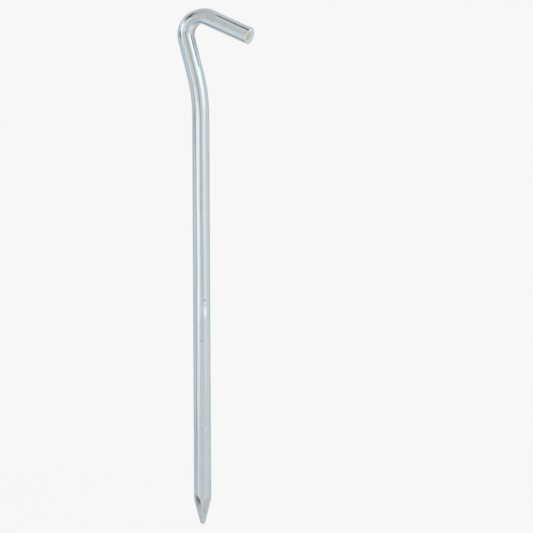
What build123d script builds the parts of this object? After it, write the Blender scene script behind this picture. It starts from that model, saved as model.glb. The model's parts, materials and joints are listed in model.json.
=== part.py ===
from build123d import *
import os
from math import atan2, cos, degrees, hypot, pi, radians, sin, tan

os.makedirs("parts", exist_ok=True)

# A hook-top tent stake: one length of 6 mm steel wire, bent twice, pointed at the foot and
# zinc plated. It stands as it does in the ground, along Z, with the hook in the XZ plane and
# its arm toward +X. The origin is on the shank's axis at the ground line. Millimetres.

# Driving dimensions
wire_d = 6.0            # drawn wire, diameter
total_height = 177.8    # 7 in, from the point to the top of the hook
height_proud = 38.0     # top of the hook above the ground line

crank_radius = 54.6     # centreline radius where the neck leans away from the arm
neck_lean = 15.3        # degrees from the shank's axis, toward -X
neck_length = 12.4      # straight part of the neck
bend_radius = 6.23      # centreline radius of the hook
bend_turn = 129.3       # degrees that the hook turns back over the shank
arm_length = 17.0       # straight part of the hook's arm
arm_edge = 0.3          # rounding of the sheared end
bend_squash = 0.115     # share of the diameter lost across the bend, at its crown
bend_spread = 0.06      # share gained the other way, at its crown
crown_power = 2.2       # moves the crown toward the arm; 1 would leave it halfway round
bend_sections = 9       # sections that carry that change of shape round the bend

point_turn = 16.0       # degrees from -Y toward +X, of the front ridge of the point
point_length = 9.6      # from the blunt end up to the top of the facets
point_missing = 2.4     # how far below the blunt end the facets would meet
end_edge = 0.25         # rounding of the blunt end
front_angle = 18.0      # degrees between the front and back ridges and the shank's axis
side_angle = 14.9       # the same for the ridges at either side
step_angle = 38.0       # degrees of the short step at the top of each facet


def squeeze(share):
    """How far the bend is pressed out of round, from 0 at its ends to 1 at its crown."""
    return sin(pi * share ** crown_power) ** 2


# Heights that follow from them; the hook is highest where its wire runs level
wire_r = wire_d / 2
lean = radians(neck_lean)
top_share = (90 + neck_lean) / bend_turn
top_r = wire_r * (1 - bend_squash * squeeze(top_share))
crank_rise = crank_radius * sin(lean)
neck_rise = neck_length * cos(lean)
bend_rise = bend_radius * (1 + sin(lean)) + top_r
crank_z = height_proud - crank_rise - neck_rise - bend_rise
tip_z = height_proud - total_height


def facing(turn):
    """Rotation that takes +X to the direction this many degrees from -Y toward +X."""
    return Rot(0, 0, turn - 90)


def centreline():
    """Shank, crank, neck, bend and arm, one edge each, from the point up."""
    shank = Line((0, tip_z), (0, crank_z))
    crank = JernArc(shank @ 1, shank % 1, crank_radius, neck_lean)
    neck = PolarLine(crank @ 1, neck_length, direction=crank % 1)
    bend = JernArc(neck @ 1, neck % 1, bend_radius, -bend_turn)
    arm = PolarLine(bend @ 1, arm_length, direction=bend % 1)
    return [Plane.XZ * edge for edge in (shank, crank, neck, bend, arm)]


def across(edge, share):
    """Plane square to an edge, with its local Y pointing out of the hook's plane."""
    along = edge % share
    return Plane(edge @ share, x_dir=Vector(0, 1, 0).cross(along), z_dir=along)


def round_wire(edge):
    """Full round wire along one edge."""
    return sweep(across(edge, 0) * Circle(wire_r), path=edge)


def pressed_bend(edge):
    """The hook's bend: wire squeezed against the forming pin, flattest at the crown."""
    sections = []
    for step in range(bend_sections):
        share = step / (bend_sections - 1)
        in_plane = wire_r * (1 - bend_squash * squeeze(share))
        out_of_plane = wire_r * (1 + bend_spread * squeeze(share))
        sections.append(across(edge, share) * Ellipse(in_plane, out_of_plane))
    return sweep(sections, path=edge, multisection=True)


def rounded_arm(edge):
    """The arm's wire, with a soft rim round its sheared end."""
    arm = round_wire(edge)
    rim = arm.edges().filter_by(GeomType.CIRCLE).sort_by_distance(edge @ 1)[0]
    return fillet(rim, arm_edge)


def facet_cutter(turn, flat):
    """Wedge for one facet of the point: a long flat, with a short steep step above it."""
    step = tan(radians(step_angle))
    top_h = point_missing + point_length
    meet_h = (step * top_h - wire_r) / (step - flat)
    outer = wire_r + 1
    profile = Polyline(
        (outer, top_h + (outer - wire_r) / step),
        (flat * meet_h, meet_h),
        (0, 0),
        (outer, 0),
        close=True,
    )
    wedge = extrude(Plane.XZ * make_face(profile), wire_d, both=True)
    return Pos(0, 0, tip_z - point_missing) * facing(turn) * wedge


def press_point(rod):
    """Press four facets into a diamond point, then soften the small blunt end between them."""
    front = tan(radians(front_angle))
    side = tan(radians(side_angle))
    flat = front * side / hypot(front, side)
    facet_turn = degrees(atan2(front, side))
    for ridge_turn in (point_turn, point_turn + 180):
        rod -= facet_cutter(ridge_turn - facet_turn, flat)
        rod -= facet_cutter(ridge_turn + facet_turn, flat)
    end_rim = rod.faces().sort_by(Axis.Z)[0].edges()
    return fillet(end_rim, end_edge)


def stake():
    """The whole stake: a single piece of wire from its point to the end of its arm."""
    shank, crank, neck, bend, arm = centreline()
    rod = pressed_bend(bend) + rounded_arm(arm)
    for edge in (shank, crank, neck):
        rod += round_wire(edge)
    return press_point(rod)


export_step(stake(), "parts/stake.step")
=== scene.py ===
import json
from math import atan2, cos, degrees, hypot, pi, radians, sin, tan

import bpy
import numpy as np
from mathutils import Matrix, Vector


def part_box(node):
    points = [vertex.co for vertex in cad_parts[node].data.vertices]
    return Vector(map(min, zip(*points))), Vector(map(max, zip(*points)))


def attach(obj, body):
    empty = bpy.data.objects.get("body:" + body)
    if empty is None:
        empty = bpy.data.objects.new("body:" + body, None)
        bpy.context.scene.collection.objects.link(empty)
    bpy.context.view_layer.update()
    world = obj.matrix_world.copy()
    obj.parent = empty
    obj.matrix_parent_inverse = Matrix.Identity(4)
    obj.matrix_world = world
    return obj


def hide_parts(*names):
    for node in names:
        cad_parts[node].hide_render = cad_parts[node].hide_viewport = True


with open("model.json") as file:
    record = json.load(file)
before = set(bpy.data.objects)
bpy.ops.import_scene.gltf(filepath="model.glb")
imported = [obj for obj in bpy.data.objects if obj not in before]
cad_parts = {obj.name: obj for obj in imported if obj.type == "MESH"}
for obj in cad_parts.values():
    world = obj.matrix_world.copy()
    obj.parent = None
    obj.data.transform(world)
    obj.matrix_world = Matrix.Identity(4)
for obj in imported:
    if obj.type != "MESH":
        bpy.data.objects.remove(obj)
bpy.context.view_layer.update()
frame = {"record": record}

# A hook-top tent stake bent from one length of zinc-plated wire. The mesh below is the wire's
# real surface: pressed point, squeezed bend, sheared end, feeder marks and die lines. Lengths
# are in millimetres up to the moment a mesh is made. The wire's own sizes come from the frame
# or are the CAD model's driving dimensions, and the marks and the finish add a few of their
# own. Turns are degrees from -Y toward +X.
MM = 0.001
NODE = "stake"
SURFACE_ROOM = 0.04     # left under the CAD box's top for the ripples in the surface

mounts = {mount["name"]: mount for mount in frame["record"]["mounts"]}
node_lo, node_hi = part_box(NODE)
WIRE_R = mounts["shank"]["dims"]["r_mm"]
TIP_Z = node_lo[2] / MM
TOP_Z = node_hi[2] / MM - SURFACE_ROOM

CRANK_RADIUS = 54.6     # centreline radius where the neck leans away from the arm
NECK_LEAN = radians(15.3)
NECK_LENGTH = 12.4
BEND_RADIUS = 6.23
BEND_TURN = radians(129.3)
ARM_LENGTH = 17.0
BEND_SQUASH = 0.115     # share of the thickness lost across the bend, at its crown
BEND_SPREAD = 0.056     # share gained the other way, with room left for the ripples
CROWN_POWER = 2.2       # moves the squeezed bend's crown toward the arm

POINT_TURN = 16.0       # of the point's front ridge
POINT_LENGTH = 9.6      # from the blunt end up to the top of the facets
POINT_MISSING = 2.40    # how far below the blunt end the facets would meet
FRONT_SLOPE = tan(radians(18.0))    # of the front and back ridges
SIDE_SLOPE = tan(radians(14.9))     # of the ridges at either side
STEP_SLOPE = tan(radians(38.0))     # of the short step at the top of each facet
RIDGE_SHARPNESS = 46.0  # the higher it is, the less the ridges are rounded
BURR_HEIGHT = 0.045     # of the burr on the ridges
BURR_WIDTH = 0.13
TIP_EDGE = 0.28         # rounding of the blunt end
TIP_SLANT = 0.30        # slope of the blunt end, which was nipped off aslant
TIP_LOW_TURN = 98.0     # side of the blunt end that reaches lowest
TIP_HALF_WIDTH = 0.72

RIM_SHARP = 0.10        # rounding of the arm's end where the shear left it sharp
RIM_ROLLED = 0.64       # what the shear added where it rolled the rim over
FACE_SET_BACK = 0.02    # the arm's cut face stands this far back from the wire's full length
TORN_DEPTH = 0.09       # how much deeper its torn part lies, on average

CAMERA_TURN = 23.0      # the camera stands this many degrees from -Y toward +X

SEGMENTS = 160          # vertices round the wire, a multiple of four so ridges fall on them
STAKE_SEED = 7


# ---------------------------------------------------------------- centreline

def squeeze(share):
    """How far the bend is pressed out of round, from 0 at its ends to 1 at its crown."""
    return np.sin(pi * np.clip(share, 0, 1) ** CROWN_POWER) ** 2


top_share = (pi / 2 + NECK_LEAN) / BEND_TURN
top_r = WIRE_R * (1 - BEND_SQUASH * float(squeeze(top_share)))
crank_rise = CRANK_RADIUS * sin(NECK_LEAN)
neck_rise = NECK_LENGTH * cos(NECK_LEAN)
bend_rise = BEND_RADIUS * (1 + sin(NECK_LEAN)) + top_r
SHANK_LENGTH = TOP_Z - crank_rise - neck_rise - bend_rise - TIP_Z

# length and turn of each stretch, from the tip up; a turn to the right, toward +X, is positive
STRETCHES = (
    (SHANK_LENGTH, 0.0),
    (CRANK_RADIUS * NECK_LEAN, -NECK_LEAN),
    (NECK_LENGTH, 0.0),
    (BEND_RADIUS * BEND_TURN, BEND_TURN),
    (ARM_LENGTH, 0.0),
)
STARTS = np.cumsum([0.0] + [length for length, _ in STRETCHES])
CRANK_S, _, BEND_S, ARM_S, END_S = STARTS[1:]


def centreline(s):
    """Place (x, z) and heading from +Z toward +X at each distance s from the tip."""
    s = np.asarray(s, float)
    x, z, heading = np.zeros_like(s), np.zeros_like(s), np.zeros_like(s)
    at_x, at_z, at_heading = 0.0, TIP_Z, 0.0
    for start, (length, turn) in zip(STARTS, STRETCHES):
        run = np.clip(s - start, 0, length)
        here = s >= start
        if start + length >= END_S - 1e-6:      # the last stretch runs straight on past its end
            run = s - start
        if start == 0.0:                        # and the first one back past its start
            run = np.minimum(s, length)
            here = np.ones_like(s, bool)
        angle = at_heading + turn * run / length
        if turn:
            arc_r = length / turn
            dx = arc_r * (np.cos(at_heading) - np.cos(angle))
            dz = arc_r * (np.sin(angle) - np.sin(at_heading))
            end_x = arc_r * (cos(at_heading) - cos(at_heading + turn))
            end_z = arc_r * (sin(at_heading + turn) - sin(at_heading))
        else:
            dx, dz = run * sin(at_heading), run * cos(at_heading)
            end_x, end_z = length * sin(at_heading), length * cos(at_heading)
        x = np.where(here, at_x + dx, x)
        z = np.where(here, at_z + dz, z)
        heading = np.where(here, angle, heading)
        at_x, at_z, at_heading = at_x + end_x, at_z + end_z, at_heading + turn
    return x, z, heading


# ---------------------------------------------------------------- surface of the wire

def around(turn):
    """Angle round the wire, from +X toward +Y, of a turn in degrees from -Y toward +X."""
    return radians(turn - 90)


def apart(phi, centre):
    """Signed angle from a centre, between -pi and pi."""
    return (phi - centre + pi) % (2 * pi) - pi


def step_up(value, low, high):
    """Smooth step from 0 at low to 1 at high."""
    t = np.clip((value - low) / (high - low), 0, 1)
    return t * t * (3 - 2 * t)


def between(value, low, high, rise, fall):
    """1 between low and high, fading to 0 over rise below and over fall above."""
    return step_up(value, low - rise, low) * (1 - step_up(value, high, high + fall))


def ripples(s, phi, seed, count, rounds, lengths, slope):
    """Sum of random waves round and along the wire, each with about the same surface slope."""
    rng = np.random.default_rng(seed)
    total = np.zeros(np.broadcast(s, phi).shape)
    for _ in range(count):
        n = int(rng.integers(rounds[0], rounds[1] + 1))
        k = 2 * pi / np.exp(rng.uniform(np.log(lengths[0]), np.log(lengths[1])))
        amplitude = slope / hypot(n / WIRE_R, k) * rng.uniform(0.4, 1.0) / count ** 0.5
        total += amplitude * np.cos(n * phi + k * s + rng.uniform(0, 2 * pi))
    return total


def facet_turns():
    """Directions that the four facets face, as angles round the wire."""
    half = degrees(atan2(FRONT_SLOPE, SIDE_SLOPE))
    offsets = [half_turn + side * half for half_turn in (0, 180) for side in (-1, 1)]
    return [around(POINT_TURN + offset) for offset in offsets]


FACET_SLOPE = FRONT_SLOPE * SIDE_SLOPE / hypot(FRONT_SLOPE, SIDE_SLOPE)
RIDGES = [around(POINT_TURN + quarter) for quarter in (0, 90, 180, 270)]


def facet_reach(s):
    """Distance of a facet's surface from the axis, at each distance from the blunt end."""
    flat = FACET_SLOPE * (s + POINT_MISSING)
    step = WIRE_R + STEP_SLOPE * (s - POINT_LENGTH)
    return np.maximum(flat, step)


def point_radius(s, phi):
    """Round wire pressed to a diamond point, its ridges and shoulders slightly rounded."""
    grazing = 0.05      # a facet that faces less than this toward phi doesn't cut the wire there
    total = np.full(np.broadcast(s, phi).shape, WIRE_R ** -RIDGE_SHARPNESS)
    for facing in facet_turns():
        towards = np.cos(apart(phi, facing))
        reach = facet_reach(s) / np.maximum(towards, grazing)
        total += np.where(towards > grazing, reach ** -RIDGE_SHARPNESS, 0.0)
    return total ** (-1 / RIDGE_SHARPNESS)


def flash(s, phi):
    """Thin uneven burr squeezed out along the ridges of the point."""
    r = point_radius(s, phi)
    burr = np.zeros_like(r)
    for number, ridge in enumerate(RIDGES):
        off = apart(phi, ridge) * r
        ragged = 0.6 + 0.4 * np.sin(2.3 * s + 1.7 * number) * np.sin(5.1 * s + number)
        burr += BURR_HEIGHT * ragged * np.exp(-(off / BURR_WIDTH) ** 2)
    return burr * step_up(s, 0.2, 1.2) * (1 - step_up(s, 5.5, 7.5))


# long flats left by the wire feeder's gripper: distance below the top of the hook, turn, length,
# width and depth of each
BITES = (
    (104.6, 46.5, 5.6, 1.35, 0.058),
    (103.6, 22.0, 5.2, 0.80, 0.035),
)
# small pits left by its teeth: the same, with the pit's height for the length
NICKS = (
    (100.75, 42.5, 0.90, 1.05, 0.050),
    (100.95, 21.0, 0.60, 0.60, 0.012),
    (114.45, 21.5, 0.60, 0.80, 0.035),
    (145.05, 23.0, 0.55, 0.60, 0.030),
    (144.90, 45.0, 0.40, 0.50, 0.012),
)
LONE_NICKS = (114.45, 145.05)       # pits away from the flats, which need fine rings of their own

# faint die lines, small waves and slow waves of the drawn wire: how many, how often each goes
# up and down round the wire, their lengths along it and the slope that they give the surface
RIPPLES = (
    (26, (5, 36), (25.0, 160.0), 0.020),
    (22, (0, 7), (1.8, 14.0), 0.010),
    (16, (1, 4), (20.0, 70.0), 0.006),
)


def mark_distance(drop):
    """Distance from the tip of a mark this far below the top of the hook."""
    return TOP_Z - drop - TIP_Z


def bites(s, phi):
    """Depth of the gripper's long flats, blunt at the top and fading out below."""
    depth = np.zeros(np.broadcast(s, phi).shape)
    for drop, turn, length, width, deep in BITES:
        along = (s - mark_distance(drop)) / length + 0.5
        fade = step_up(along, 0.0, 0.75) * (1 - step_up(along, 0.78, 1.0))
        off = apart(phi, around(turn)) * WIRE_R / (width / 2)
        flat = deep * np.clip(1 - off ** 2, 0, None)
        lip = 0.2 * deep * np.exp(-((along - 1.05) / 0.05) ** 2) * np.exp(-off ** 2)
        depth += flat * fade - lip
    return depth


def nicks(s, phi):
    """Depth of the gripper's small pits."""
    depth = np.zeros(np.broadcast(s, phi).shape)
    for drop, turn, tall, wide, deep in NICKS:
        up = (s - mark_distance(drop)) / (tall / 2)
        off = apart(phi, around(turn)) * WIRE_R / (wide / 2)
        depth += deep * np.exp(-(up ** 2 + off ** 2) * 1.2)
    return depth


def radius(s, phi):
    """Radius of the wire's surface before the bend squeezes it."""
    r = point_radius(s, phi) + flash(s, phi)
    for number, waves in enumerate(RIPPLES):
        r += ripples(s, phi, STAKE_SEED + number, *waves)
    return r - bites(s, phi) - nicks(s, phi)


def bend_share(s):
    """How far round the bend a distance lies, 0 at its start and 1 at the arm."""
    return (s - BEND_S) / (ARM_S - BEND_S)


def place(s, phi, r):
    """Points of the wire's surface, in millimetres."""
    x, z, heading = centreline(s)
    share = bend_share(s)
    side = r * np.cos(phi) * (1 - BEND_SQUASH * squeeze(share))
    out = r * np.sin(phi) * (1 + BEND_SPREAD * squeeze(share))
    return np.stack((x + side * np.cos(heading), out + 0 * x, z - side * np.sin(heading)), -1)


# ---------------------------------------------------------------- rings of the mesh

def spread(start, end, spacing):
    """Evenly spaced distances from start up to, but not including, end."""
    count = max(1, round((end - start) / spacing))
    return list(start + (end - start) * np.arange(count) / count)


# stretches of rings up the point: where each ends, above the blunt end, and its spacing
POINT_RINGS = ((8.8, 0.12), (12.6, 0.075), (15.0, 0.3))
BITE_RINGS = (3.9, 0.12)        # half length and spacing of the rings over the flats
NICK_RINGS = (0.7, 0.1)         # the same over a pit that lies alone
SHANK_SPACING = 1.1
CRANK_SPACING = 0.8             # and up the neck
BEND_SPACING = 0.3
ARM_SPACING = 0.6
ARM_END_SPACING = 0.15
END_BLEND = 3.0                 # length over which the rings lean to follow the shape of an end
ARM_LAST = 0.5                  # the last whole ring stands this far back from the arm's end


def ring_distances():
    """Where the rings lie along the wire: close together where the shape is fine."""
    rings, at = [], TIP_EDGE
    for end, spacing in POINT_RINGS:
        rings += spread(at, end, spacing)
        at = end
    fine = [(mark_distance(BITES[0][0]), *BITE_RINGS)]
    fine += [(mark_distance(drop), *NICK_RINGS) for drop in LONE_NICKS]
    for centre, half, spacing in sorted(fine):
        rings += spread(at, centre - half, SHANK_SPACING)
        rings += spread(centre - half, centre + half, spacing)
        at = centre + half
    rings += spread(at, CRANK_S, SHANK_SPACING) + spread(CRANK_S, BEND_S, CRANK_SPACING)
    rings += spread(BEND_S, ARM_S, BEND_SPACING) + spread(ARM_S, END_S - END_BLEND, ARM_SPACING)
    return rings + spread(END_S - END_BLEND, END_S - ARM_LAST, ARM_END_SPACING)


def end_height(r, phi):
    """How far the blunt end's face stands back from the very tip."""
    toward_low = r * np.cos(phi - around(TIP_LOW_TURN))
    return TIP_SLANT * np.maximum(TIP_HALF_WIDTH - toward_low, 0)


ARM_NEAR = around(-5.0)     # side of the arm's end that tore as the wire was cut
ARM_ROLLED = around(250.0)  # side where the shear blade rolled the rim over


def arm_rim(phi):
    """Rounding at the arm's end: rolled over at the top by the shear, nearly sharp below."""
    rolled = 0.5 + 0.5 * np.cos(phi - ARM_ROLLED)
    return RIM_SHARP + RIM_ROLLED * rolled ** 1.5


def torn_share(r, phi):
    """Share of the arm's end face that is torn rather than cut, 0 to 1."""
    near, level = r * np.cos(phi - ARM_NEAR), r * np.sin(phi - ARM_NEAR)
    reach = step_up(near - 0.25 * level ** 2, -0.6, 0.7)
    return reach * (1 - step_up(np.abs(level), 1.3, 2.0))


def arm_face(r, phi):
    """How far the arm's end face stands back from its farthest point."""
    x, y = r * np.cos(phi), r * np.sin(phi)
    rng = np.random.default_rng(STAKE_SEED + 9)
    rough = np.zeros_like(x)
    for _ in range(30):
        k = 2 * pi / rng.uniform(0.45, 1.8)
        turn = rng.uniform(0, 2 * pi)
        rough += np.cos(k * (x * cos(turn) + y * sin(turn)) + rng.uniform(0, 2 * pi)) / k
    return FACE_SET_BACK + TORN_DEPTH * torn_share(r, phi) * np.clip(1 + rough, 0, None)


TIP_FACE_ROWS, TIP_EDGE_ROWS = 8, 7     # rows across the blunt end and round its edge
ARM_FACE_ROWS, ARM_EDGE_ROWS = 22, 9    # the same at the arm's end


def wire_grid():
    """Distance along the wire and radius of every vertex, ring by ring from tip to arm end."""
    phi = around(POINT_TURN) + 2 * pi * np.arange(SEGMENTS) / SEGMENTS
    body = np.array(ring_distances())[:, None]
    near_tip = np.clip(1 - (body - body[0]) / END_BLEND, 0, 1)
    near_end = np.clip((body - (END_S - END_BLEND)) / (body[-1] - END_S + END_BLEND), 0, 1)
    rim = arm_rim(phi)
    start = end_height(radius(body[:1], phi), phi) + TIP_EDGE
    stop = END_S - arm_face(WIRE_R - rim, phi) - rim
    s = body + near_tip * (start - body[0]) + near_end * (stop - body[-1])
    r = radius(s, phi)
    first, last = r[:1], r[-1:]

    rows = []
    for share in np.linspace(0, 1, TIP_FACE_ROWS)[1:]:
        inner = (first - TIP_EDGE) * share
        rows.append((end_height(inner, phi), inner))
    for turn in np.linspace(pi / 2, 0, TIP_EDGE_ROWS)[1:-1]:
        outer = first - TIP_EDGE * (1 - cos(turn))
        rows.append((end_height(outer, phi) + TIP_EDGE * (1 - sin(turn)), outer))
    rows.append((s, r))
    for turn in np.linspace(0, pi / 2, ARM_EDGE_ROWS)[1:]:
        rows.append((stop + rim * sin(turn), last - rim * (1 - cos(turn))))
    for share in np.linspace(1, 0, ARM_FACE_ROWS)[1:-1]:
        inner = (last - rim) * share
        rows.append((END_S - arm_face(inner, phi), inner))
    all_s = np.vstack([np.broadcast_to(row_s, row_r.shape) for row_s, row_r in rows])
    return all_s, np.vstack([row_r for _, row_r in rows]), phi


# ---------------------------------------------------------------- masks for the finish and the painted light

END_DEPTH = 0.45            # the arm's end, rim and face, starts this far short of the wire's end


def torn_mask(s, r, phi):
    """Bare torn steel: the near half of the arm's end face, and the drag marks just behind it."""
    on_face = step_up(s, END_S - END_DEPTH, END_S - 0.2) * torn_share(r, phi)
    drag_length, drag_half_width = 1.5, 1.35
    back = np.clip(END_S - s, 0, None) / drag_length
    level = r * np.sin(phi - ARM_NEAR) / drag_half_width
    drag = 0.85 * np.exp(-back ** 2 - level ** 2) * (np.cos(phi - ARM_NEAR) > 0)
    return np.clip(np.maximum(on_face, drag), 0, 1)


def spot(s, r, phi, centre, half):
    """Soft patch, its centre given as (height above the tip, turn) and its half sizes in mm."""
    height, turn = centre
    across = apart(phi, around(turn)) * np.maximum(r, 0.5)
    away = ((s - height) / half[0]) ** 2 + (across / half[1]) ** 2
    return np.exp(-np.clip(away, 0, 30) ** 1.6)


def seen_from_front(s, r, phi, centre, slope, half):
    """Soft blot in the plane facing the camera's turn, with one long and one short half size.

    centre, in millimetres, is (right of the axis, height above the tip), and slope is how many
    degrees the long way falls to the right.
    """
    turn = phi - around(CAMERA_TURN)
    right, rise = r * np.sin(turn) - centre[0], s - centre[1]
    along = right * cos(radians(slope)) - rise * sin(radians(slope))
    across = right * sin(radians(slope)) + rise * cos(radians(slope))
    away = (along / half[0]) ** 2 + (across / half[1]) ** 2
    return np.exp(-np.clip(away, 0, 30) ** 1.5) * (np.cos(turn) > 0)


# painted shade on the point: strength, then centre, slope and half sizes as seen_from_front has
# them
POINT_SHADE_MARKS = (
    (1.00, (-1.47, 8.48), 66.0, (1.78, 0.64)),      # painted shade in the concave corner under the left shoulder
    (0.36, (-1.52, 7.60), 62.0, (1.90, 1.10)),      # painted soft shadow below it
    (0.42, (0.62, 4.60), 84.0, (1.40, 0.36)),       # painted dark line beside the front ridge
)
PIT_SHADE = 0.55             # strength of the painted shade in a pit
PIT_FULL = 0.035            # a pit this deep or deeper holds all of it
FLAT_FULL = 0.065           # a flat this deep would get a painted highlight as bright as the cut end
# painted highlight specks by the gripper's pits: distance below the top of the hook and turn
HIGHLIGHT_SPECKS = ((99.7, 42.0), (99.4, 55.0), (145.2, 44.0), (144.6, 51.0))
SPECK_STRENGTH = 0.7
SPECK_SIZE = (0.35, 0.30)
# bands along the wire in the bend, a lighter one and a painted shade inside it: strength, turn and
# half width in degrees
LIGHTER_BAND = (0.42, 60.0, 13.0)
INSIDE_SHADE_BAND = (0.85, 91.0, 16.0)
FLANK_TURN = 4.0            # of the painted shade band on the arm's flank
FLANK_DRIFT = 11.0          # degrees that it has still to turn where the bend starts
FLANK_HALF = 11.0           # its half width in degrees
SATIN_START = 0.78          # share of the bend where the satin outside starts
SATIN_RUN = 3.1             # how far it runs on along the arm


def band(phi, strength, turn, half):
    """Soft band along the wire at a turn, half as wide as given in degrees."""
    return strength * np.exp(-(apart(phi, around(turn)) / radians(half)) ** 2)


def painted_shade_mask(s, r, phi):
    """Painted shade: in the concave corner under a shoulder of the point, a soft shadow below it,
    a dark line beside the front ridge, and in the pits.
    """
    total = np.zeros(np.broadcast(s, phi).shape)
    for strength, centre, slope, half in POINT_SHADE_MARKS:
        total = np.maximum(total, strength * seen_from_front(s, r, phi, centre, slope, half))
    # painted shade in the gripper's pits, darker where they are deeper
    for drop, turn, tall, wide, deep in NICKS:
        pit = spot(s, r, phi, (mark_distance(drop), turn), (tall * 0.55, wide * 0.5))
        total = np.maximum(total, min(1.0, deep / PIT_FULL) * PIT_SHADE * pit)
    return total


def highlight_and_bare_end_mask(s, r, phi):
    """Painted highlights in the gripper's flats and by the pits, a lighter band in the bend, and
    the bare steel of the cut end.
    """
    total = np.zeros(np.broadcast(s, phi).shape)
    for drop, turn, length, width, deep in BITES:
        size = (length * 0.45, width * 0.42)
        flat = spot(s, r, phi, (mark_distance(drop - 0.2), turn), size)
        total = np.maximum(total, deep / FLAT_FULL * flat)
    for drop, turn in HIGHLIGHT_SPECKS:
        speck = spot(s, r, phi, (mark_distance(drop), turn), SPECK_SIZE)
        total = np.maximum(total, SPECK_STRENGTH * speck)
    bend = band(phi, *LIGHTER_BAND) * between(s, BEND_S + 0.5, BEND_S + 6.0, 4.0, 5.0)
    end = step_up(s, END_S - END_DEPTH, END_S - 0.15)
    return np.maximum(np.maximum(total, bend), end)


def satin_mask(s, r, phi):
    """Zinc crazed to a satin finish where the outside of the bend stretched most."""
    start = BEND_S + SATIN_START * (ARM_S - BEND_S)
    outside = step_up(-np.cos(phi), -0.5, 0.1)
    return between(s, start, ARM_S + SATIN_RUN, 1.4, 0.3) * outside


def flank_and_bend_shade_mask(s, r, phi):
    """Painted shade on the arm's front flank and inside the bend."""
    share = np.clip(bend_share(s), 0, 1)
    turned = apart(phi, around(FLANK_TURN)) - (1 - share) * radians(FLANK_DRIFT)
    flank = np.exp(-(turned / radians(FLANK_HALF)) ** 2)
    flank = (0.42 + 0.18 * share) * flank * step_up(share, 0.02, 0.30)
    inside = band(phi, *INSIDE_SHADE_BAND) * between(s, BEND_S - 2.5, BEND_S + 6.0, 5.0, 5.0)
    return np.maximum(flank, inside)


# ---------------------------------------------------------------- mesh

def add_object(name, data):
    """Object in the scene that holds this mesh or camera."""
    added = bpy.data.objects.new(name, data)
    bpy.context.scene.collection.objects.link(added)
    return added


def store(mesh, name, kind, field, values):
    """Keep one value per vertex for the material to read."""
    layer = mesh.attributes.new(name, kind, "POINT")
    layer.data.foreach_set(field, np.ascontiguousarray(values, np.float32).ravel())


def ring_quads(rings, seg):
    """Quads that join each ring of vertices to the next."""
    i, j = np.meshgrid(np.arange(rings - 1), np.arange(seg), indexing="ij")
    a, b = i * seg + j, i * seg + (j + 1) % seg
    return np.stack((a, b, b + seg, a + seg), -1).reshape(-1, 4)


def on_axis(s):
    """The point of the wire's centreline at this distance from the tip."""
    zero = np.zeros((1, 1))
    return place(np.full((1, 1), float(s)), zero, zero).reshape(1, 3)


# masks for the finish, among them painted shade and painted highlights
MASKS = (("torn", torn_mask), ("painted_shade", painted_shade_mask), ("highlight_and_bare_end", highlight_and_bare_end_mask),
         ("flank_and_bend_shade", flank_and_bend_shade_mask), ("satin", satin_mask))


def build_stake():
    """The wire's mesh: rings joined by quads, closed by a fan at each end."""
    s, r, phi = wire_grid()
    rings, seg = s.shape
    points = place(s, phi[None, :], r).reshape(-1, 3)
    face_mid = float(END_S - arm_face(np.array(0.0), np.array(0.0)))
    middles = (on_axis(end_height(0.0, 0.0)), on_axis(face_mid))
    verts = np.vstack((points, *middles)) * MM
    tip_vert, end_vert = rings * seg, rings * seg + 1

    column = np.arange(seg)
    following = (column + 1) % seg
    tip_fan = np.stack((np.full(seg, tip_vert), following, column), -1)
    base = (rings - 1) * seg
    end_fan = np.stack((np.full(seg, end_vert), base + column, base + following), -1)
    faces = ring_quads(rings, seg).tolist() + tip_fan.tolist() + end_fan.tolist()

    mesh = bpy.data.meshes.new("stake_wire")
    mesh.from_pydata(verts.tolist(), [], faces)
    mesh.polygons.foreach_set("use_smooth", np.ones(len(faces), bool))

    wide_phi = np.broadcast_to(phi, s.shape)
    straight = np.stack((r * np.cos(wide_phi), r * np.sin(wide_phi), s), -1).reshape(-1, 3)
    ends = np.array([[0, 0, 0], [0, 0, face_mid]], float)
    store(mesh, "wire", "FLOAT_VECTOR", "vector", np.vstack((straight, ends)))
    for name, mask in MASKS:
        values = mask(s, r, wide_phi).ravel()
        middle = mask(np.array([0.0, face_mid]), np.zeros(2), np.zeros(2))
        store(mesh, name, "FLOAT", "value", np.concatenate((values, middle)))
    mesh.update()
    return add_object("stake_wire", mesh)


# ---------------------------------------------------------------- material

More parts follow.
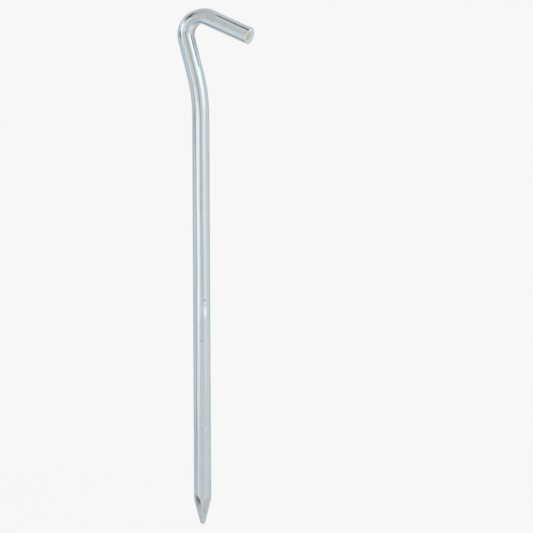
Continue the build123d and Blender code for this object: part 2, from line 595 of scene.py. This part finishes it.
class Nodes:
    """Short way to add and join shader nodes."""

    def __init__(self, tree):
        self.tree = tree
        self.tree.nodes.clear()

    def add(self, kind, **settings):
        node = self.tree.nodes.new(kind)
        for name, value in settings.items():
            setattr(node, name, value)
        return node

    def join(self, source, target):
        self.tree.links.new(source, target)

    def feed(self, socket, value):
        if isinstance(value, bpy.types.NodeSocket):
            self.join(value, socket)
        else:
            socket.default_value = value

    def math(self, operation, *values, clamp=False):
        node = self.add("ShaderNodeMath", operation=operation, use_clamp=clamp)
        for socket, value in zip(node.inputs, values):
            self.feed(socket, value)
        return node.outputs[0]

    def blend(self, factor, first, second, mode="MIX"):
        node = self.add("ShaderNodeMix", data_type="RGBA", blend_type=mode)
        self.feed(node.inputs["Factor"], factor)
        self.feed(node.inputs[6], first)
        self.feed(node.inputs[7], second)
        return node.outputs[2]

    def ramp(self, value, low, high, to_low=0.0, to_high=1.0):
        node = self.add("ShaderNodeMapRange", interpolation_type="SMOOTHSTEP")
        for socket, number in zip(node.inputs, (value, low, high, to_low, to_high)):
            self.feed(socket, number)
        return node.outputs[0]

    def ragged(self, mask, grain, depth, low, high):
        """A mask whose soft edge the grain breaks up, drawn from 0 at low to 1 at high."""
        broken = self.math("MULTIPLY", self.math("SUBTRACT", grain, 0.5), depth)
        return self.ramp(self.math("ADD", mask, broken), low, high)

    def grey(self, value):
        """Grey colour of one value."""
        node = self.add("ShaderNodeCombineColor")
        for socket in node.inputs:
            self.join(value, socket)
        return node.outputs[0]

    def attribute(self, name, output):
        return self.add("ShaderNodeAttribute", attribute_name=name).outputs[output]

    def noise(self, coords, stretch, detail=2.0, roughness=0.5):
        """Noise on coordinates in millimetres; stretch is its frequency across and along."""
        scaled = self.add("ShaderNodeVectorMath", operation="MULTIPLY")
        self.join(coords, scaled.inputs[0])
        scaled.inputs[1].default_value = stretch
        node = self.add("ShaderNodeTexNoise")
        self.join(scaled.outputs[0], node.inputs["Vector"])
        node.inputs["Scale"].default_value = 1.0
        node.inputs["Detail"].default_value = detail
        node.inputs["Roughness"].default_value = roughness
        return node.outputs["Fac"]


def new_material(name):
    """Empty material, and the nodes to fill it with."""
    material = bpy.data.materials.new(name)
    material.use_nodes = True
    return material, Nodes(material.node_tree)


# base colours, linear
BLUE_ZINC, WARM_ZINC = (0.548, 0.618, 0.662, 1), (0.588, 0.622, 0.632, 1)
BLOTCHED_ZINC = (0.53, 0.55, 0.55, 1)
DIRT = (0.16, 0.13, 0.10, 1)
# painted shade on the arm's flank and inside the bend
FLANK_AND_BEND_SHADE_ZINC = (0.300, 0.315, 0.305, 1)
# painted highlight, and the bare steel of the cut end
HIGHLIGHT_AND_BARE_ZINC = (0.79, 0.83, 0.85, 1)
TORN_DARK, TORN_LIGHT = (0.24, 0.20, 0.165, 1), (0.70, 0.685, 0.65, 1)
# painted shade on the point and in the pits, grey to reddish
PAINTED_SHADE_GREY, PAINTED_SHADE_REDDISH = (0.190, 0.185, 0.185, 1), (0.275, 0.205, 0.195, 1)

HIGHLIGHT_AND_BARE_STRENGTH = 0.75  # share of the painted highlight and bare end colour where its mask is 1
BUMP_DISTANCE = 0.0018  # millimetres
# added to the roughness by the torn steel, the satin zinc and the painted shade, over the bright
# zinc's own
TORN_ROUGH, SATIN_ROUGH, SHADE_MARK_ROUGH = 0.22, 0.30, 0.25


def zinc_material():
    """Bright zinc on drawn steel wire, with torn steel, painted shade and painted highlights where
    the masks say.
    """
    material, n = new_material("zinc_plated_steel")
    wire = n.attribute("wire", "Vector")
    torn, painted_shade = n.attribute("torn", "Fac"), n.attribute("painted_shade", "Fac")

    tone = n.noise(wire, (0.22, 0.22, 0.045), detail=3.0)
    blotch = n.noise(wire, (0.55, 0.55, 0.40), detail=4.0, roughness=0.6)
    streak = n.noise(wire, (2.6, 2.6, 0.030), detail=3.0, roughness=0.6)
    hair = n.noise(wire, (11.0, 11.0, 0.11), detail=2.0)
    grain = n.noise(wire, (9.0, 9.0, 7.0), detail=3.0, roughness=0.7)
    speck = n.noise(wire, (3.4, 3.4, 2.6), detail=1.0)

    # plated zinc: two tones, faint blotches, streaks along the wire and pinholes
    colour = n.blend(n.ramp(tone, 0.36, 0.66), BLUE_ZINC, WARM_ZINC)
    colour = n.blend(n.ramp(blotch, 0.45, 0.75, 0.0, 0.20), colour, BLOTCHED_ZINC)
    streaks, hairs = n.ramp(streak, 0.30, 0.70, 0.93, 1.04), n.ramp(hair, 0.3, 0.7, -0.04, 0.04)
    colour = n.blend(1.0, colour, n.grey(n.math("ADD", streaks, hairs)), "MULTIPLY")
    pits = n.ramp(speck, 0.735, 0.80, 0.0, 0.55)
    colour = n.blend(pits, colour, DIRT)

    # what happened to it since, and the painted shade and painted highlights
    # painted shade on the arm's flank and inside the bend
    colour = n.blend(n.attribute("flank_and_bend_shade", "Fac"), colour, FLANK_AND_BEND_SHADE_ZINC)
    # painted highlights in the flats and by the pits, a lighter band in the bend, bare steel at
    # the cut end
    highlight_and_bare = n.math("MULTIPLY", n.attribute("highlight_and_bare_end", "Fac"), HIGHLIGHT_AND_BARE_STRENGTH)
    colour = n.blend(highlight_and_bare, colour, HIGHLIGHT_AND_BARE_ZINC)
    torn_edge = n.ragged(torn, grain, 0.9, 0.30, 0.62)
    colour = n.blend(torn_edge, colour, n.blend(n.ramp(grain, 0.37, 0.51), TORN_DARK, TORN_LIGHT))
    # painted shade on the point and in the pits
    painted_shade_edge = n.ragged(painted_shade, grain, 0.3, 0.02, 0.95)
    colour = n.blend(painted_shade_edge, colour, n.blend(n.ramp(grain, 0.40, 0.60), PAINTED_SHADE_GREY, PAINTED_SHADE_REDDISH))

    patchy, hairy = n.ramp(blotch, 0.3, 0.7, 0.075, 0.130), n.ramp(hair, 0.3, 0.7, -0.01, 0.03)
    rough = n.math("ADD", patchy, hairy)
    rough = n.math("ADD", rough, n.math("MULTIPLY", torn_edge, TORN_ROUGH))
    rough = n.math("ADD", rough, n.math("MULTIPLY", n.attribute("satin", "Fac"), SATIN_ROUGH))
    rough = n.math("ADD", rough, n.math("MULTIPLY", painted_shade_edge, SHADE_MARK_ROUGH), clamp=True)

    height = n.math("ADD", n.math("MULTIPLY", hair, 0.55), n.math("MULTIPLY", streak, 0.8))
    height = n.math("ADD", height, n.math("MULTIPLY", grain, 0.35))
    height = n.math("SUBTRACT", height, pits)
    torn_height = n.math("MULTIPLY", n.math("MULTIPLY", torn_edge, grain), 18.0)
    bump = n.add("ShaderNodeBump")
    bump.inputs["Strength"].default_value = 1.0
    bump.inputs["Distance"].default_value = BUMP_DISTANCE * MM
    n.join(n.math("ADD", height, torn_height), bump.inputs["Height"])

    shader = n.add("ShaderNodeBsdfPrincipled")
    n.join(colour, shader.inputs["Base Color"])
    n.join(rough, shader.inputs["Roughness"])
    shader.inputs["Metallic"].default_value = 1.0
    n.join(bump.outputs[0], shader.inputs["Normal"])
    n.join(shader.outputs[0], n.add("ShaderNodeOutputMaterial").inputs["Surface"])
    return material


# ---------------------------------------------------------------- studio

PALE = 0.930            # linear brightness of the plain background
FLOOR_MATT = 0.15       # share of light that the floor scatters, so that it takes soft shadows
FLOOR_GLOW = 0.790      # its own glow, which with that share makes up the background's brightness
FLOOR_HALF = 6.0        # metres
TENT_R = 0.60           # metres
TENT_COLUMNS = 360
# rows of the tent's wall: where each stretch starts and ends and its spacing, in degrees of
# elevation; they are closest where the stake mirrors the wall most
TENT_ROWS = ((-88.0, -16.0, 2.0), (-16.0, 28.0, 0.5), (28.0, 89.0, 1.5))

# parts of the tent's wall that are brighter or darker than the rest: a path of (azimuth,
# elevation) points in degrees, half width, softness and gain. Azimuth is from the camera,
# positive to the right, and elevation is seen from the ground line.
WALL_MARKS = (
    (((-118, 26), (-98, 23)), 3.5, 5.0, 0.40),      # bright fold, from the far left inward
    (((-86, 18.5), (-72, 16)), 1.5, 4.0, 0.24),
    (((-70, 14.5), (-62, 9), (-55, 9)), 2.0, 5.0, 0.75),
    (((-98, 6.5), (-84, 5.5), (-74, 5)), 2.4, 3.4, -0.64),      # dark gap below the fold
    # dark slit above the fold, which comes down toward the front
    (((-87, 51), (-82, 44), (-77, 37), (-74, 30)), 3.5, 5.5, -0.86),
    (((-74, 29), (-66, 22), (-57, 16.5)), 2.5, 5.5, -0.68),
    (((-56, 18), (-47, 21)), 2.0, 6.0, -0.25),
    (((-58, -16), (-72, -30)), 4.0, 9.0, 0.20),     # brighter cloth, lower left
    (((-102, -39), (-124, -40)), 3.0, 8.0, -0.16),  # table's edge, lower left
    (((104, 8), (106, 26)), 4.0, 8.0, -0.06),       # faint seam on the right
)
SEAM = ((-74, 0), (-68, -3), (-73, -9), (-81, -14))     # thin dark seam, lower left
OPENING = (-10.0, 79.5)         # dark opening in the tent's top: azimuth and elevation
OPENING_DARK = 0.86             # share of the light lost in it


def capsule(azimuth, elevation, path, half, soft):
    """1 within half degrees of a path, fading to 0 over soft."""
    nearest = np.full(azimuth.shape, 1e9)
    for (a0, e0), (a1, e1) in zip(path, path[1:]):
        run_a, run_e = a1 - a0, e1 - e0
        share = ((azimuth - a0) * run_a + (elevation - e0) * run_e) / (run_a ** 2 + run_e ** 2)
        share = np.clip(share, 0, 1)
        away = np.hypot(azimuth - a0 - share * run_a, elevation - e0 - share * run_e)
        nearest = np.minimum(nearest, away)
    return 1 - step_up(nearest, half, half + soft)


def away_from(azimuth, elevation, centre):
    """Angle in degrees between a direction and a point on the tent."""
    rise, rise_at = np.radians(elevation), radians(centre[1])
    across = np.cos(rise) * cos(rise_at) * np.cos(np.radians(azimuth - centre[0]))
    return np.degrees(np.arccos(np.clip(across + np.sin(rise) * sin(rise_at), -1, 1)))


# In the functions below, every edge and softness is in degrees on the tent's wall, and every
# strength is a share of the plain cloth's brightness, of about 1. low, foot and high say how
# far a direction is below the ground line, down at the stake's point or above the hook.

def plain_cloth(azimuth, elevation, foot):
    """Brightness of the cloth alone: higher at the sides, lower toward the back and bottom."""
    sides = between(np.abs(azimuth), 65, 105, 35, 20)
    back_left = between(azimuth, -132, -110, 16, 20)
    back_right = between(azimuth, 126, 150, 12, 20) * step_up(elevation, -24, -16)
    low_right = between(azimuth, 60, 100, 20, 25) * between(elevation, -30, -18, 10, 4)
    level = 0.93 - 0.035 * foot + 0.06 * sides - 0.16 * back_left - 0.11 * back_right
    return level - 0.14 * low_right - 0.14 * step_up(-elevation, 46, 58)


def left_softbox(azimuth, elevation, low, foot):
    """Tall softbox left of the camera, from just above the ground line down."""
    outer, inner = -49 + 3 * low, -27 - 13 * step_up(-elevation, 3.5, 9.5)
    box = step_up(azimuth, outer - 22 + 7 * low, outer)
    box = box * (1 - step_up(azimuth, inner, inner + 14 + 7 * low * (1 - foot)))
    box = box * (1 - step_up(elevation, 2.0, 5.2)) * step_up(elevation, -15, -9)
    return box * (0.50 - 0.06 * foot)


def right_softbox(azimuth, elevation, low, high):
    """Softbox right of the camera: dim at the height of the shank, wide and bright above it."""
    lower = between(azimuth, 36 + 9 * low, 48 + 11 * low, 14 + 4 * low, 22)
    lower = lower * (0.41 - 0.18 * low - 0.17 * step_up(-elevation, 5, 12))
    outer = 54 + 6 * step_up(elevation, 9, 16) + 14 * step_up(elevation, 20, 27)
    upper = between(azimuth, 44, outer, 23, 20 - 8 * step_up(elevation, 18, 25))
    upper = upper * (1 - step_up(elevation, 45, 65))
    upper = upper * (0.61 + 0.14 * step_up(elevation, 14, 20) + 0.2 * step_up(elevation, 24, 30))
    return lower * (1 - high) + upper * high


def middle_gap(azimuth, elevation, low, high):
    """Share of the light lost in the gap between the softboxes, which leans to the left."""
    lean = 6 * step_up(elevation, 0, 3) - 3.5 * step_up(elevation, 5, 9)
    gap = between(azimuth + lean, -3 + 7 * low, 2 + 8 * low, 10, 9)
    gap = gap * (0.35 + 0.06 * high + 0.06 * step_up(elevation, 9, 15) - 0.21 * low)
    return gap * (1 - step_up(-elevation, 5, 9)) * (1 - step_up(elevation, 20, 34))


def cloth_tint(azimuth, elevation, ceiling):
    """Colour of the cloth: warm in front and overhead, cool at the sides."""
    front = between(azimuth, -62, 10, 15, 30) * step_up(elevation, 2, 12)
    below = 0.2 * (1 - step_up(np.abs(azimuth), 15, 50)) * (elevation < 2)
    warm = np.clip(np.clip(front + below, 0, 1) + 0.9 * ceiling, 0, 1)
    cool_left, cool_right = 1 + 1.2 * step_up(-elevation, 34, 42), step_up(elevation, -30, -18)
    cool = between(np.abs(azimuth), 80, 125, 30, 25) * (1 - ceiling)
    cool = cool * np.where(azimuth < 0, cool_left, cool_right)
    red, green, blue = 0.06 * warm - 0.055 * cool, 0.015 * warm, 0.03 * cool - 0.055 * warm
    return 1 + np.stack((red, green, blue), -1)


def tent_light(azimuth, elevation):
    """Radiance of the light tent's wall, seen from the ground line."""
    low = step_up(-elevation, 1.0, 4.0)         # 0 above the ground line, 1 below it
    foot = step_up(-elevation, 6.0, 13.0)       # 1 at the height of the stake's point
    high = step_up(elevation, 1.0, 9.0)         # 1 above the hook

    boxes = left_softbox(azimuth, elevation, low, foot)
    boxes = boxes + right_softbox(azimuth, elevation, low, high)
    under = between(azimuth, 40, 60, 30, 16) * between(elevation, -45, -20, 20, 5)
    light = plain_cloth(azimuth, elevation, foot) * (1 + boxes + 0.32 * under)

    light = light * (1 - middle_gap(azimuth, elevation, low, high))
    ceiling = between(azimuth, -92, -41, 16, 11) * step_up(elevation, 24, 34)
    light = light * (1 - 0.34 * ceiling)
    seam = capsule(azimuth, elevation, SEAM, 2.0, 8.0) * (0.22 + 0.13 * step_up(-elevation, 2, 11))
    light = light * (1 - seam)
    opening = 1 - step_up(away_from(azimuth, elevation, OPENING), 5, 12)
    light = light * (1 - OPENING_DARK * opening)
    for path, half, soft, gain in WALL_MARKS:
        light = light * (1 + gain * capsule(azimuth, elevation, path, half, soft))
    return light[..., None] * cloth_tint(azimuth, elevation, ceiling)


def light_tent():
    """Ball of lit cloth round the stake, seen only in reflections."""
    steps = [step for stretch in TENT_ROWS for step in spread(*stretch)]
    azimuth, elevation = np.meshgrid(np.arange(TENT_COLUMNS) - 180.0, steps)
    turn, rise = np.radians(azimuth + CAMERA_TURN), np.radians(elevation)
    flat_r = TENT_R * np.cos(rise)
    verts = np.stack((flat_r * np.sin(turn), -flat_r * np.cos(turn), TENT_R * np.sin(rise)), -1)
    faces = ring_quads(len(steps), TENT_COLUMNS)

    mesh = bpy.data.meshes.new("light_tent")
    mesh.from_pydata(verts.reshape(-1, 3).tolist(), [], faces.tolist())
    store(mesh, "light", "FLOAT_VECTOR", "vector", tent_light(azimuth, elevation))
    tent = add_object("light_tent", mesh)
    material, n = new_material("light_tent")
    glow = n.add("ShaderNodeEmission")
    n.join(n.attribute("light", "Color"), glow.inputs["Color"])
    n.join(glow.outputs[0], n.add("ShaderNodeOutputMaterial").inputs["Surface"])
    material.cycles.emission_sampling = "NONE"
    mesh.materials.append(material)
    tent.visible_camera = False
    tent.visible_shadow = False


def pale_floor():
    """Plain floor that the stake's tip touches, glowing a little so that it stays even."""
    half = FLOOR_HALF
    mesh = bpy.data.meshes.new("floor")
    corners = [(-half, -half, 0), (half, -half, 0), (half, half, 0), (-half, half, 0)]
    mesh.from_pydata(corners, [], [(0, 1, 2, 3)])
    floor = add_object("floor", mesh)
    floor.location.z = TIP_Z * MM
    material, n = new_material("pale_floor")
    glow = n.add("ShaderNodeEmission")
    glow.inputs["Color"].default_value = (1, 1, 1, 1)
    glow.inputs["Strength"].default_value = FLOOR_GLOW
    matt = n.add("ShaderNodeBsdfDiffuse")
    matt.inputs["Color"].default_value = (FLOOR_MATT, FLOOR_MATT, FLOOR_MATT, 1)
    both = n.add("ShaderNodeAddShader")
    n.join(glow.outputs[0], both.inputs[0])
    n.join(matt.outputs[0], both.inputs[1])
    n.join(both.outputs[0], n.add("ShaderNodeOutputMaterial").inputs["Surface"])
    material.cycles.emission_sampling = "NONE"
    mesh.materials.append(material)
    floor.visible_glossy = False


def pale_world():
    """Even pale background for the camera."""
    world = bpy.data.worlds.new("studio")
    bpy.context.scene.world = world
    world.use_nodes = True
    n = Nodes(world.node_tree)
    background = n.add("ShaderNodeBackground")
    background.inputs["Color"].default_value = (PALE, PALE, PALE, 1)
    n.join(background.outputs[0], n.add("ShaderNodeOutputWorld").inputs["Surface"])


# ---------------------------------------------------------------- camera

CAMERA_FAR = 1.5        # metres from the stake
FRAME_WIDTH = 0.18373   # metres across the picture at the stake
CAMERA_RIGHT = 0.02242  # the stake stands this far left of the picture's centre
CAMERA_Z = -0.05108     # below the ground line, at the middle of the stake's height
CAMERA_ROLL = radians(0.29)
SENSOR_WIDTH = 36.0     # millimetres, on the camera


def camera_axes():
    """Directions toward the camera, to its right and up."""
    turn = radians(CAMERA_TURN)
    back = Vector((sin(turn), -cos(turn), 0))
    right = Vector((cos(turn), sin(turn), 0))
    return back, right, Vector((0, 0, 1))


def add_camera():
    """Long lens, level, a little to the right of the hook's open side."""
    back, right, up = camera_axes()
    data = bpy.data.cameras.new("camera")
    data.sensor_width = SENSOR_WIDTH
    data.lens = SENSOR_WIDTH * CAMERA_FAR / FRAME_WIDTH
    camera = add_object("camera", data)
    side = right * cos(CAMERA_ROLL) - up * sin(CAMERA_ROLL)
    top = up * cos(CAMERA_ROLL) + right * sin(CAMERA_ROLL)
    matrix = Matrix((side, top, back)).transposed().to_4x4()
    matrix.translation = back * CAMERA_FAR + right * CAMERA_RIGHT + up * CAMERA_Z
    camera.matrix_world = matrix
    bpy.context.scene.camera = camera


# ---------------------------------------------------------------- scene

stake = build_stake()
stake.data.materials.append(zinc_material())
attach(stake, "root")
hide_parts(NODE)

pale_world()
pale_floor()
light_tent()
add_camera()
bpy.context.scene.view_settings.view_transform = "Standard"
